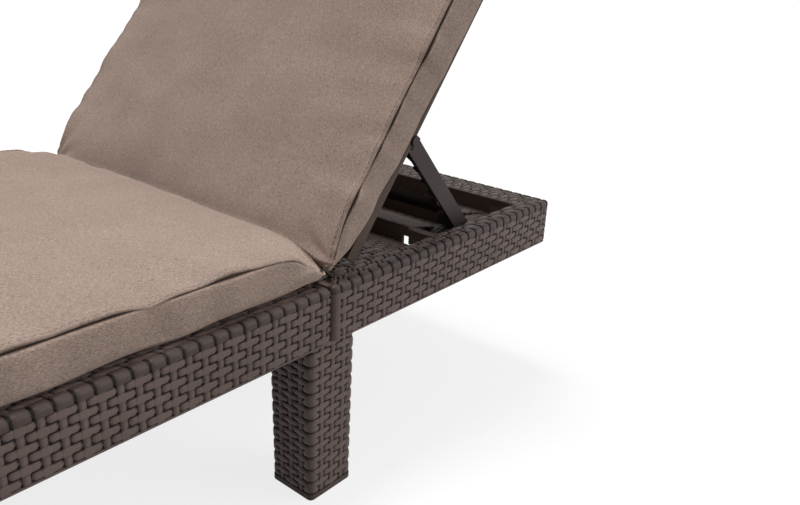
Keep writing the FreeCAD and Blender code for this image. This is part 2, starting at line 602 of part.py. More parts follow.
def back_cushion():
    run = SIZES["panel_length"] + SIZES["back_cushion_tail"] + SIZES["back_cushion_over"]
    pad = cushion("back_cushion", run, SIZES["back_crown"], SIZES["back_tail_cut"])
    back = "panel_face + cushion_clear"
    return place(pad, (f"{HINGE_X} - back_cushion_tail * cos({LEAN}) - ({back}) * sin({LEAN})", "0",
                       f"{HINGE_Z} - back_cushion_tail * sin({LEAN}) + ({back}) * cos({LEAN})"),
                 ((0, 1, 0), "-recline_angle"))


seat_frame()
head_frame()
for end_name, leg_place in (("front", FRONT_LEG), ("rear", REAR_LEG)):
    for side_name, side_sign in SIDES.items():
        leg(f"leg_{end_name}_{side_name}", leg_place, side_sign)
        glide(f"glide_{end_name}_{side_name}", leg_place, side_sign)
leg_screws()
seam_fasteners()
hinge_pins()
backrest_panel()
prop_pins()
for side_name, side_sign in SIDES.items():
    prop_arm(side_name, side_sign)
prop_cross_bar()
prop_screws()
seat_cushion()
back_cushion()
doc.recompute()

for item in doc.Objects:
    if "Invalid" in item.State or "Error" in item.State:
        raise RuntimeError(f"{item.Name} ({item.Label}) failed: {item.State}")
os.makedirs("parts", exist_ok=True)
for item in NODES:
    shape = item.Shape
    if shape.isNull() or not shape.isValid():
        raise RuntimeError(f"{item.Label} has no valid shape")
    shape.exportStep(f"parts/{item.Label}.step")
    print(f"{item.Label}: {len(shape.Solids)} solids, {shape.Volume:.0f} mm3")
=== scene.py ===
import bpy
import bmesh
import json
import math
from mathutils import Matrix, Vector, noise


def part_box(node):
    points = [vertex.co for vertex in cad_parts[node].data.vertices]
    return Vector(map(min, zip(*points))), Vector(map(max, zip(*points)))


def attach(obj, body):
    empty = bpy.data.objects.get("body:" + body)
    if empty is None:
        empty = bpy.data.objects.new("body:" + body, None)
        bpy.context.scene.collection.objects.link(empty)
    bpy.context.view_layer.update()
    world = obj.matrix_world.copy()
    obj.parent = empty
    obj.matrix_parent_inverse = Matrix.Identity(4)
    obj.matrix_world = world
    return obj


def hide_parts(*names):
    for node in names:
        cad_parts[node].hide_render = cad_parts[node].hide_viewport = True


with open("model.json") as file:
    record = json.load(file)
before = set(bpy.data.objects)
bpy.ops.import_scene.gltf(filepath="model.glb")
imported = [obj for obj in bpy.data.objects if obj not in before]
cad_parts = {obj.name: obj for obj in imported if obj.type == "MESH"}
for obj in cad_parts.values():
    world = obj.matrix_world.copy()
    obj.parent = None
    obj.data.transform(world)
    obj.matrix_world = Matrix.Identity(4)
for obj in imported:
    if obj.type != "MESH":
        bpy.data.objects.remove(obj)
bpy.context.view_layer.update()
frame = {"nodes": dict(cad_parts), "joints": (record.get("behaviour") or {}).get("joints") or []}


# Seat section: one injection moulding of dark brown resin, a flat deck inside deep rails.
# The deck and its ribs are smooth; the rails carry a moulded basket weave that is laid
# over them below, so the smooth core is drawn in by the depth of that weave.
weave_depth = 0.0042
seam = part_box("head_frame")[0].x
rail_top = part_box("seat_frame")[1].z
rail_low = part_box("seat_frame")[0].z
half_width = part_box("seat_frame")[1].y


def smooth_resin(name, colour, roughness):
    """Moulded resin: faint mottling of the colour and a fine spark-eroded grain."""
    mottle_scale, darker, paler = 14, 0.86, 1.12
    grain_scale, grain_depth, grain_strength = 900, 0.0003, 0.25
    material = bpy.data.materials.new(name)
    material.use_nodes = True
    nodes = material.node_tree.nodes
    link = material.node_tree.links.new
    shader = nodes["Principled BSDF"]
    place = nodes.new("ShaderNodeTexCoord")
    mottle = nodes.new("ShaderNodeTexNoise")
    mottle.inputs["Scale"].default_value = mottle_scale
    mottle.inputs["Detail"].default_value = 4
    link(place.outputs["Object"], mottle.inputs["Vector"])
    tint = nodes.new("ShaderNodeValToRGB")
    tint.color_ramp.elements[0].position = 0.3
    tint.color_ramp.elements[0].color = (*[c * darker for c in colour], 1)
    tint.color_ramp.elements[1].position = 0.7
    tint.color_ramp.elements[1].color = (*[c * paler for c in colour], 1)
    link(mottle.outputs["Fac"], tint.inputs["Fac"])
    link(tint.outputs["Color"], shader.inputs["Base Color"])
    grain = nodes.new("ShaderNodeTexNoise")
    grain.inputs["Scale"].default_value = grain_scale
    grain.inputs["Detail"].default_value = 2
    link(place.outputs["Object"], grain.inputs["Vector"])
    bump = nodes.new("ShaderNodeBump")
    bump.inputs["Strength"].default_value = grain_strength
    bump.inputs["Distance"].default_value = grain_depth
    link(grain.outputs["Fac"], bump.inputs["Height"])
    link(bump.outputs["Normal"], shader.inputs["Normal"])
    shader.inputs["Roughness"].default_value = roughness
    shader.inputs["Specular IOR Level"].default_value = 0.18
    return material


def add_piece(name, bm, material, body, slot, *nodes):
    """Finish a bmesh as an object that rides on a body and may stand for CAD nodes."""
    mesh = bpy.data.meshes.new(name)
    bm.to_mesh(mesh)
    bm.free()
    piece = bpy.data.objects.new(name, mesh)
    bpy.context.scene.collection.objects.link(piece)
    mesh.materials.append(material)
    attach(piece, body)
    if nodes:
        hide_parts(*nodes)
    return piece


def drawn_in_core(node, ends, levels):
    """Copy of a section with its outer faces and its woven levels drawn in."""
    bm = bmesh.new()
    bm.from_mesh(frame["nodes"][node].data)
    bmesh.ops.remove_doubles(bm, verts=bm.verts, dist=1e-6)
    near = 1e-4
    for vert in bm.verts:
        if abs(abs(vert.co.y) - half_width) < near:
            vert.co.y -= math.copysign(weave_depth, vert.co.y)
        for end_x in ends:
            if abs(vert.co.x - end_x) < near:
                vert.co.x += weave_depth if end_x == min(ends) else -weave_depth
        if any(abs(vert.co.z - level) < near for level in levels):
            vert.co.z -= weave_depth
    return bm


# The smooth core takes a paler brown than the weave of the same moulding, as painted light that lifts
# its shaded walls.
core_resin_painted_paler = smooth_resin("brown resin", (0.180, 0.126, 0.105), 0.5)
seat_ends = (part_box("seat_frame")[0].x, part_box("seat_frame")[1].x)
seat_core = drawn_in_core("seat_frame", seat_ends, (rail_top,))
add_piece("seat_section", seat_core, core_resin_painted_paler, "frame", "woven_resin", "seat_frame")


# Woven rails of the seat section: stakes 18 mm apart with flat strands passing over and
# under them, moulded in one with the rail. The weave turns round the corners, and a border
# of bands, darkened with painted shade, takes it over the rounded top edge and in under the cushion.
stake_pitch = 0.0179
row_pitch = 0.0091
stake_half_share = 0.21
stake_shares = (-0.5, -0.4, -0.31, -0.225, -0.208, -0.185, 0, 0.185, 0.208, 0.225, 0.31, 0.4)
row_shares = (-0.5, -0.44, -0.34, 0, 0.34, 0.44)
weave_dip = 0.0011
slot_depth = 0.0034
crossing_dip = 0.0010
stake_edge_power, crossing_power, slot_power = 12, 4, 5
dive_start, dive_run, dive_widening = 0.42, 0.2, 0.22
deepest_level = -0.95 * weave_depth
plain_level = -0.12 * weave_depth
rail_width = 0.030
# The border's relief is scaled down so that the material paints its bands darker, as painted shade
# where the cushion shades the rail's top edge.
border_rows, border_slit_at, border_power, border_painted_shade = (7, 8), -0.31, 9, 0.69


def weave_level(stake, across, row, along):
    """Height below the crest of the weave, at shares of a pitch from a stake and a row."""
    strand_over = (stake + row) % 2 == 0
    side = abs(across)
    if side < stake_half_share:
        stake_edge = 0 if strand_over else slot_depth * (side / stake_half_share) ** stake_edge_power
        return -crossing_dip * abs(2 * along) ** crossing_power - stake_edge
    from_cover = 1 - side if strand_over else side
    dive = min(1, max(0, (dive_start - from_cover) / dive_run))
    slot = slot_depth * min(1, (abs(2 * along) * (1 + dive_widening * dive)) ** slot_power)
    return max(-weave_dip * dive - slot, deepest_level)


def woven_sheet(stakes, rows, lay, first=0, closed=False, plain=None, band=None, band_painted_shade=1):
    """Grid displaced as a plain weave. lay(u, v) gives the crest's point and normal there."""
    bm = bmesh.new()
    columns = stakes * len(stake_shares)
    lines = rows * len(row_shares)
    bmesh.ops.create_grid(bm, x_segments=columns, y_segments=lines, size=1)
    relief = bm.verts.layers.float.new("relief")
    for vert in bm.verts:
        column = round((vert.co.x + 1) / 2 * columns)
        line = round((vert.co.y + 1) / 2 * lines)
        stake, step = divmod(column, len(stake_shares))
        row, rise = divmod(line, len(row_shares))
        place = (stake + first, stake_shares[step], row, row_shares[rise])
        level, shade = weave_level(*place), 1
        if band and band(*place) is not None:
            level, shade = band(*place), band_painted_shade
        u = (stake + stake_shares[step] + 0.5) / stakes
        v = (row + row_shares[rise] + 0.5) / rows
        if plain and plain(u, v):
            level = plain_level
        point, normal = lay(u, v)
        vert.co = point + normal * level
        # The relief, scaled by a band's painted shade, is what the material turns into painted shade
        # and highlight.
        vert[relief] = shade * (1 + level / weave_depth)
    if closed:
        bmesh.ops.remove_doubles(bm, verts=[v for v in bm.verts if v.is_boundary], dist=1e-5)
    bmesh.ops.recalc_face_normals(bm, faces=bm.faces)
    for face in bm.faces:
        face.smooth = True
    return bm


def round_plan(way, low, high, radius, inset):
    """Point and outward direction at a distance round a rounded rectangle from its near side."""
    sides = (high.x - low.x - 2 * radius, high.y - low.y - 2 * radius) * 2
    turn = math.pi / 2 * radius
    way = way % (sum(sides) + 4 * turn)
    corner = max(radius - inset, 0.0004)
    middle = (low + high) / 2
    reach = ((high.x - low.x) / 2 - inset - corner, (high.y - low.y) / 2 - inset - corner)
    for index in range(4):
        heading = Matrix.Rotation(math.pi / 2 * index, 2)
        along, out = reach[index % 2], reach[(index + 1) % 2]
        if way <= sides[index]:
            local = Vector(((2 * way / sides[index] - 1) * along, -out - corner))
            return middle + heading @ local, heading @ Vector((0, -1))
        way -= sides[index]
        if way <= turn or index == 3:
            angle = min(way / turn, 1) * math.pi / 2
            normal = Vector((math.sin(angle), -math.cos(angle)))
            return middle + heading @ (Vector((along, -out)) + corner * normal), heading @ normal
        way -= turn


def rail_profile(share, top_inset):
    """Inset, height and outward slope at a share of the way up a rail and over its top."""
    foot_radius, top_radius, under = 0.002, 0.006, 0.0065
    steps = (under - foot_radius, math.pi / 2 * foot_radius,
             rail_top - rail_low - foot_radius - top_radius,
             math.pi / 2 * top_radius, top_inset - top_radius)
    way = share * sum(steps)
    if way <= steps[0]:
        return under - way, rail_low, (0, -1)
    way -= steps[0]
    if way <= steps[1]:
        angle = way / foot_radius
        return (foot_radius * (1 - math.sin(angle)), rail_low + foot_radius * (1 - math.cos(angle)),
                (math.sin(angle), -math.cos(angle)))
    way -= steps[1]
    if way <= steps[2]:
        return 0, rail_low + foot_radius + way, (1, 0)
    way -= steps[2]
    if way <= steps[3]:
        angle = way / top_radius
        return (top_radius * (1 - math.cos(angle)), rail_top - top_radius * (1 - math.sin(angle)),
                (math.cos(angle), math.sin(angle)))
    return top_radius + way - steps[3], rail_top, (0, 1)


def edge_band(stake, across, row, along):
    """The border: a band over the rail's top edge for each stake, with a slit between them."""
    if row in border_rows:
        by_slot = row == border_rows[0] and along == row_shares[0] and abs(across) > stake_half_share
        by_slit = abs(2 * ((across - border_slit_at) % 1) - 1)
        return -slot_depth if by_slot else -slot_depth * by_slit ** border_power


def rail_weave(name, low_x, high_x, top_inset, seam_at_high, post=0):
    """The weave of one section in three runs: round its outer sides and over the rails' top."""
    low, high = Vector((low_x, -half_width)), Vector((high_x, half_width))
    radius, runs, post_below_top = 0.008, 3, 0.009
    lap = 0.0104 if seam_at_high else 0.004
    turn = math.pi / 2 * radius
    side, end = high.x - low.x - 2 * radius, high.y - low.y - 2 * radius
    start = side + turn + end - lap if seam_at_high else -turn - lap
    length = 2 * side + end + 4 * turn + 2 * lap
    stakes = round(length / stake_pitch)
    rows = round((rail_top - rail_low + top_inset) / row_pitch)
    for run in range(runs):
        first, last = stakes * run // runs, stakes * (run + 1) // runs

        def way(u):
            return (first + u * (last - first)) / stakes * length

        def lay(u, v):
            inset, height, slope = rail_profile(v, top_inset)
            point, out = round_plan(start + way(u), low, high, radius, inset)
            return Vector((*point, height)), Vector((*(out * slope[0]), slope[1]))

        def plain(u, v):
            on_post = min(way(u), length - way(u)) < post
            return v < 1 / rows or on_post and rail_profile(v, top_inset)[1] < rail_top - post_below_top

        bm = woven_sheet(last - first, rows, lay, first=first + (stakes + 1) % 2, plain=plain,
                         band=edge_band, band_painted_shade=border_painted_shade)
        add_piece(f"{name}_{run + 1}", bm, weave_resin, "frame", "woven_resin")


def woven_resin(name, colour):
    """The same resin where it is moulded as weave, with painted shade in the gaps and a painted
    highlight on top.
    """
    material = smooth_resin(name, colour, 0.45)
    nodes = material.node_tree.nodes
    link = material.node_tree.links.new
    shader = nodes["Principled BSDF"]
    relief = nodes.new("ShaderNodeAttribute")
    relief.attribute_name = "relief"
    # Painted shade and highlight: this ramp darkens the weave's gaps to near black and lifts its crests
    # paler than the resin.
    depth = nodes.new("ShaderNodeValToRGB")
    depth.color_ramp.elements[0].position = 0.1
    depth.color_ramp.elements[0].color = (0.05, 0.045, 0.045, 1)
    depth.color_ramp.elements[1].position = 1
    depth.color_ramp.elements[1].color = (1.35, 1.35, 1.35, 1)
    for position, shade in ((0.45, 0.1), (0.64, 0.55), (0.8, 1)):
        depth.color_ramp.elements.new(position).color = (shade, shade, shade, 1)
    link(relief.outputs["Fac"], depth.inputs["Fac"])
    shade = nodes.new("ShaderNodeMix")
    shade.data_type = "RGBA"
    shade.blend_type = "MULTIPLY"
    shade.inputs["Factor"].default_value = 1
    link(nodes["Color Ramp"].outputs["Color"], shade.inputs["A"])
    link(depth.outputs["Color"], shade.inputs["B"])
    link(shade.outputs["Result"], shader.inputs["Base Color"])
    return material


weave_resin = woven_resin("woven brown resin", (0.118, 0.085, 0.076))
seam_gap = 0.0012
rail_weave("seat_rail_weave", seat_ends[0], seam - seam_gap, rail_width, True)


# Head section: the second moulding, bolted to the first. Its deck steps down in ramps, each
# ending in a smooth upright wall that can catch the prop; lanes at both sides guide the
# prop's arms. A plain post stands at each corner by the seam, hinge ears on the deck.
head_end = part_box("head_frame")[1].x
notch_depth, crest_drop = 0.024, 0.0092
head_levels = (rail_top, rail_top - notch_depth, rail_top - crest_drop)
post_width = 0.020
head_core = drawn_in_core("head_frame", (seam, head_end), head_levels)
add_piece("head_section", head_core, core_resin_painted_paler, "frame", "woven_resin", "head_frame")
rail_weave("head_rail_weave", seam + seam_gap, head_end, rail_width, False, post=post_width)


# Woven deck of the head section: the same moulded weave on the flat by the hinge, on the
# three ramps and the lanes beside them, and on the broad end rail. Slots by the first and
# the last wall let rain through, and a plain lip edges each wall.
tray_half = half_width - rail_width
lane_width = 0.044
lane_in = tray_half - lane_width
lane_start, lane_top, lane_crest, lane_drop = 0.232, 0.316, 0.006, 0.322
notch_front, notch_pitch = 0.223, 0.100
last_wall = notch_front + 2 * notch_pitch
slot_length = 0.011
first_slot = (tray_half - 0.055, tray_half - 0.027)
last_slot = (tray_half - 0.040, tray_half)
lip = 0.004


def deck_weave(name, low, high, height, lip_at_low=0):
    """A woven rectangle of deck from its low to its high X and Y, with its height along X."""
    run, breadth = high[0] - low[0], high[1] - low[1]
    stakes = max(2, round(run / stake_pitch))
    rows = max(2, round(breadth / row_pitch))
    near = 0.01

    def lay(u, v):
        slope = (height(min(u + near, 1)) - height(max(u - near, 0))) / run / (2 * near)
        normal = Vector((-slope, 0, 1)).normalized()
        return Vector((low[0] + u * run, low[1] + v * breadth, height(u))), normal

    def plain(u, v):
        return u * run < lip_at_low

    bm = woven_sheet(stakes, rows, lay, plain=plain)
    for wall, slot in ((notch_front, first_slot), (last_wall, last_slot)):
        inside = [face for face in bm.faces
                  if seam + wall - slot_length < face.calc_center_median().x < seam + wall
                  and slot[0] < abs(face.calc_center_median().y) < slot[1]]
        bmesh.ops.delete(bm, geom=inside, context="FACES")
    rim = [edge for edge in bm.edges if edge.is_boundary]
    skirt = bmesh.ops.extrude_edge_only(bm, edges=rim)["geom"]
    foot = [vert for vert in skirt if isinstance(vert, bmesh.types.BMVert)]
    bmesh.ops.translate(bm, vec=(0, 0, -weave_depth), verts=foot)
    bmesh.ops.recalc_face_normals(bm, faces=bm.faces)
    add_piece(name, bm, weave_resin, "frame", "woven_resin")


def lane_height(u):
    """Height of a lane: up to the crest that the prop rides over, then down to the last wall."""
    run = u * (last_wall - lane_start)
    rise, fall = lane_top - lane_start, last_wall - lane_drop
    lift = min(run / rise, 1, max(0, (rise + lane_crest + fall - run) / fall))
    return rail_top - notch_depth + lift * (notch_depth - crest_drop)


deck_weave("seat_end_weave", (seam - rail_width, -tray_half), (seam - seam_gap, tray_half),
           lambda u: rail_top)
deck_weave("hinge_deck_weave", (seam + seam_gap, -tray_half),
           (seam + notch_front - notch_pitch, tray_half), lambda u: rail_top)
for number in range(3):
    wall = seam + notch_front + number * notch_pitch
    half = tray_half if number == 0 else lane_in
    deck_weave(f"ramp_weave_{number + 1}", (wall - notch_pitch, -half), (wall, half),
               lambda u: rail_top - u * notch_depth, lip if number else 0)
for side, edge in (("left", -tray_half), ("right", lane_in)):
    deck_weave(f"lane_weave_{side}", (seam + lane_start, edge), (seam + last_wall, edge + lane_width),
               lane_height)
deck_weave("end_rail_weave", (seam + last_wall, -tray_half), (head_end - rail_width, tray_half),
           lambda u: rail_top, lip)


# Legs: square posts that taper a little to the foot, moulded in the same weave with bands
# round their corners. Each is pushed up into its socket and screwed there.
leg_stakes, stakes_by_side = 16, 4
leg_radius, leg_taper = 0.0075, 0.0024
# The corner bands' relief is scaled down a little, as painted shade on the legs' corners.
corner_slit, corner_power, corner_painted_shade = 0.8, 6, 0.9


def leg_weave(node):
    low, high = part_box(node)
    middle = Vector(((low.x + high.x) / 2, (low.y + high.y) / 2))
    half = (high.x - low.x) / 2
    rows = round((high.z - low.z) / row_pitch)

    def lay(u, v):
        side = half - leg_taper * (1 - v)
        corner = Vector((side, side))
        around = 8 * (side - leg_radius) + 2 * math.pi * leg_radius
        way = (u - 0.5 / leg_stakes) * around - math.pi / 4 * leg_radius
        point, out = round_plan(way, middle - corner, middle + corner, leg_radius, 0)
        return Vector((*point, low.z + v * (high.z - low.z))), Vector((*out, 0))

    def corner_band(stake, across, row, along):
        """A band round each corner of the post, two rows high, with a slit between them."""
        if stake % stakes_by_side == 0:
            by_slit = abs(2 * ((row + along + 0.5) / 2 % 1) - 1)
            return -corner_slit * slot_depth * by_slit ** corner_power

    bm = woven_sheet(leg_stakes, rows, lay, closed=True, band=corner_band, band_painted_shade=corner_painted_shade)
    bmesh.ops.holes_fill(bm, edges=[edge for edge in bm.edges if edge.is_boundary])
    add_piece(f"{node}_weave", bm, weave_resin, "frame", "woven_resin", node)


for end in ("front", "rear"):
    for side in ("left", "right"):
        leg_weave(f"leg_{end}_{side}")


# Glides: plain plugs of the same resin pressed into the feet of the legs, with rounded
# corners and a small bevel where they meet the ground.
glide_resin = smooth_resin("glide resin", (0.090, 0.066, 0.058), 0.6)


def glide(node):
    low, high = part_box(node)
    band, corner, foot_bevel = 0.008, 0.0065, 0.0015
    middle = ((low.x + high.x) / 2, (low.y + high.y) / 2, low.z + band / 2)
    bm = bmesh.new()
    bmesh.ops.create_cube(bm, size=1)
    bmesh.ops.scale(bm, vec=(high.x - low.x, high.y - low.y, band), verts=bm.verts)
    bmesh.ops.translate(bm, vec=middle, verts=bm.verts)
    uprights = [edge for edge in bm.edges if abs(edge.verts[0].co.z - edge.verts[1].co.z) > band / 2]
    bmesh.ops.bevel(bm, geom=uprights, offset=corner, segments=5, profile=0.5, affect="EDGES",
                    material=-1)
    foot = [edge for edge in bm.edges if max(v.co.z for v in edge.verts) < low.z + band / 4]
    bmesh.ops.bevel(bm, geom=foot, offset=foot_bevel, segments=3, profile=0.5, affect="EDGES",
                    material=-1)
    add_piece(f"{node}_foot", bm, glide_resin, "frame", "glide_plastic", node)


for end in ("front", "rear"):
    for side in ("left", "right"):
        glide(f"glide_{end}_{side}")


# Fasteners: zinc-plated steel screws, bolts, washers, nuts, hinge pins and push-on clips, as
# the CAD holds them, with the dull mottled look of plating.
zinc = bpy.data.materials.new("zinc plated steel")
zinc.use_nodes = True
zinc_shader = zinc.node_tree.nodes["Principled BSDF"]
zinc_place = zinc.node_tree.nodes.new("ShaderNodeTexCoord")
zinc_spangle = zinc.node_tree.nodes.new("ShaderNodeTexVoronoi")
zinc_spangle.inputs["Scale"].default_value = 400
zinc_tint = zinc.node_tree.nodes.new("ShaderNodeValToRGB")
zinc_tint.color_ramp.elements[0].color = (0.42, 0.42, 0.41, 1)
zinc_tint.color_ramp.elements[1].color = (0.62, 0.62, 0.60, 1)
zinc.node_tree.links.new(zinc_place.outputs["Object"], zinc_spangle.inputs["Vector"])
zinc.node_tree.links.new(zinc_spangle.outputs["Distance"], zinc_tint.inputs["Fac"])
zinc.node_tree.links.new(zinc_tint.outputs["Color"], zinc_shader.inputs["Base Color"])
zinc_shader.inputs["Metallic"].default_value = 1
zinc_shader.inputs["Roughness"].default_value = 0.42


def finish_node(node, material):
    """Give a CAD node a finish of its own."""
    piece = frame["nodes"][node]
    piece.data.materials.clear()
    piece.data.materials.append(material)


for node in ("leg_screws", "seam_bolts", "seam_washers", "seam_nuts", "hinge_pin_left",
             "hinge_pin_right", "hinge_pin_clips", "prop_pin_clips", "prop_screws"):
    finish_node(node, zinc)


# Backrest panel: a flat moulding with a deep rim and ribs behind, hinged on pins through
# the ears. Its edges are eased, as a moulding's are.
def ease_edges(node, width):
    """Round a CAD node's edges a little with live modifiers, its mesh left as it is."""
    piece = frame["nodes"][node]
    weld = piece.modifiers.new("join", "WELD")
    weld.merge_threshold = 1e-6
    bevel = piece.modifiers.new("ease", "BEVEL")
    bevel.width = width
    bevel.segments = 2
    bevel.limit_method = "ANGLE"
    bevel.angle_limit = math.radians(40)
    bevel.use_clamp_overlap = True


panel_resin = smooth_resin("panel resin", (0.085, 0.060, 0.048), 0.55)
finish_node("backrest_panel", panel_resin)
ease_edges("backrest_panel", 0.001)


# Prop: two arms of smooth resin, ribbed inside, that hang on pins under the panel and are
# tied by a flanged cross bar. Their outer faces are flat and faintly shiny.
prop_resin = smooth_resin("prop resin", (0.044, 0.032, 0.029), 0.4)
for node in ("prop_arm_left", "prop_arm_right", "prop_cross_bar", "prop_pin_left", "prop_pin_right"):
    finish_node(node, prop_resin)
    ease_edges(node, 0.0008)


# Cushions: foam pads in boxed covers of taupe woven polyester, sewn with a tucked seam round
# the top and the bottom of each side panel and a row of stitches beside the upper one. They
# lie loose on the bed and the backrest and are gathered where they meet in the crease.
def taupe_cloth(name, turn):
    """Heathered plain weave: fine threads that vary in tone, with painted shade along the seams' tucks,
    stitched.
    """
    thread_runs = (((340, 1450, 1450), 0.6), ((1450, 480, 1450), 0.4))
    thread_shades = ((0.35, (0.206, 0.146, 0.117)), (0.65, (0.512, 0.392, 0.328)))
    cloud_scale = 9
    cloud_shades = ((0.3, (0.93, 0.92, 0.91)), (0.7, (1.05, 1.05, 1.05)))
    tuck_below_edge, tuck_scale = 0.0015, 100
    tuck_painted_shades = ((0, (0.05, 0.038, 0.034)), (0.24, (1, 1, 1)), (0.11, (0.22, 0.19, 0.17)))
    stitch_inside, stitch_half_width, stitch_pitch, stitch_share = 0.0046, 0.0006, 0.0062, 0.66
    stitch_strength, stitch_colour = 0.55, (0.075, 0.055, 0.045)
    thread_relief, thread_depth = 0.5, 0.0005
    material = bpy.data.materials.new(name)
    material.use_nodes = True
    nodes = material.node_tree.nodes
    link = material.node_tree.links.new
    shader = nodes["Principled BSDF"]
    place = nodes.new("ShaderNodeTexCoord")
    lie = nodes.new("ShaderNodeMapping")
    lie.inputs["Rotation"].default_value = (0, turn, 0)
    link(place.outputs["Object"], lie.inputs["Vector"])

    def sum_of(kind, first, second):
        step = nodes.new("ShaderNodeMath")
        step.operation = kind
        for socket, value in zip(step.inputs, (first, second)):
            if isinstance(value, (int, float)):
                socket.default_value = value
            else:
                link(value, socket)
        return step.outputs["Value"]

    def reading(attribute):
        node = nodes.new("ShaderNodeAttribute")
        node.attribute_name = attribute
        return node.outputs["Fac"]

    def shades(value, stops):
        ramp = nodes.new("ShaderNodeValToRGB")
        for element, (position, colour) in zip(ramp.color_ramp.elements, stops):
            element.position = position
            element.color = (*colour, 1)
        for position, colour in stops[2:]:
            ramp.color_ramp.elements.new(position).color = (*colour, 1)
        link(value, ramp.inputs["Fac"])
        return ramp.outputs["Color"]

    def over(kind, amount, first, second):
        layer = nodes.new("ShaderNodeMix")
        layer.data_type = "RGBA"
        layer.blend_type = kind
        if isinstance(amount, (int, float)):
            layer.inputs["Factor"].default_value = amount
        else:
            link(amount, layer.inputs["Factor"])
        link(first, layer.inputs["A"])
        if isinstance(second, tuple):
            layer.inputs["B"].default_value = (*second, 1)
        else:
            link(second, layer.inputs["B"])
        return layer.outputs["Result"]

    threads = []
    for stretch, share in thread_runs:
        lay = nodes.new("ShaderNodeMapping")
        lay.inputs["Scale"].default_value = stretch
        link(lie.outputs["Vector"], lay.inputs["Vector"])
        tone = nodes.new("ShaderNodeTexNoise")
        tone.inputs["Scale"].default_value = 1
        tone.inputs["Detail"].default_value = 2
        link(lay.outputs["Vector"], tone.inputs["Vector"])
        threads.append(sum_of("MULTIPLY", tone.outputs["Fac"], share))
    cross = sum_of("ADD", *threads)
    cloth = shades(cross, thread_shades)
    cloud = nodes.new("ShaderNodeTexNoise")
    cloud.inputs["Scale"].default_value = cloud_scale
    cloud.inputs["Detail"].default_value = 3
    link(lie.outputs["Vector"], cloud.inputs["Vector"])
    cloth = over("MULTIPLY", 1, cloth, shades(cloud.outputs["Fac"], cloud_shades))
    # Painted shade: the cloth darkens to near black along the tucks of the seams, where the groove lies
    # in shade.
    below_edge = sum_of("ABSOLUTE", sum_of("ADD", reading("upper_seam"), tuck_below_edge), 0)
    near_seam = sum_of("MINIMUM", below_edge, sum_of("ABSOLUTE", reading("lower_seam"), 0))
    cloth = over("MULTIPLY", 1, cloth, shades(sum_of("MULTIPLY", near_seam, tuck_scale), tuck_painted_shades))
    from_row = sum_of("ABSOLUTE", sum_of("SUBTRACT", reading("upper_seam"), stitch_inside), 0)
    in_row = sum_of("LESS_THAN", from_row, stitch_half_width)
    step = sum_of("FRACT", sum_of("DIVIDE", reading("along_seam"), stitch_pitch), 0)
    stitch = sum_of("MULTIPLY", in_row, sum_of("LESS_THAN", step, stitch_share))
    cloth = over("MIX", sum_of("MULTIPLY", stitch, stitch_strength), cloth, stitch_colour)
    link(cloth, shader.inputs["Base Color"])
    bump = nodes.new("ShaderNodeBump")
    bump.inputs["Strength"].default_value = thread_relief
    bump.inputs["Distance"].default_value = thread_depth
    link(cross, bump.inputs["Height"])
    link(bump.outputs["Normal"], shader.inputs["Normal"])
    shader.inputs["Roughness"].default_value = 0.92
    shader.inputs["Sheen Weight"].default_value = 0.12
    shader.inputs["Specular IOR Level"].default_value = 0.15
    return material


cushion_thick = 0.048
seam_half = half_width - 0.0160
side_draw = 0.005
seam_bulge = 0.004
corner_radius, crease_radius = 0.030, 0.008
cloth_step = 0.0102
seam_readings = ("upper_seam", "lower_seam", "along_seam")


def seam_lines(span):
    """Places of the grid lines across a span: close together by a seam, then evenly apart."""
    close = [0, 0.0022, 0.0045, 0.008, 0.013]
    middle = span - 2 * close[-1]
    count = round(middle / cloth_step)
    evenly = [close[-1] + middle * step / count for step in range(1, count)]
    return close + evenly + [span - line for line in reversed(close)]


def boxed_cover(length):
    """Closed grid box of top, bottom and side panels that knows how far its seams are."""
    spans = (length, 2 * seam_half, cushion_thick)
    lines = [seam_lines(span) for span in spans]
    bm = bmesh.new()
    bmesh.ops.create_cube(bm, size=1)
    for axis in range(3):
        along = [edge for edge in bm.edges
                 if abs(edge.verts[0].co[axis] - edge.verts[1].co[axis]) > 0.5]
        bmesh.ops.subdivide_edges(bm, edges=along, cuts=len(lines[axis]) - 2, use_grid_fill=True)
    upper, lower, run = (bm.verts.layers.float.new(name) for name in seam_readings)
    for vert in bm.verts:
        for axis in range(3):
            vert.co[axis] = lines[axis][round((vert.co[axis] + 0.5) * (len(lines[axis]) - 1))]
        from_end = min(vert.co.x, length - vert.co.x)
        from_side = min(vert.co.y, 2 * seam_half - vert.co.y)
        inward = min(from_end, from_side)
        vert[run] = vert.co.x if from_side < from_end else vert.co.y
        vert[lower] = vert.co.z + (inward if vert.co.z > 1e-6 else -inward)
        vert[upper] = vert[lower] - cushion_thick
        vert.co.y -= seam_half
    return bm


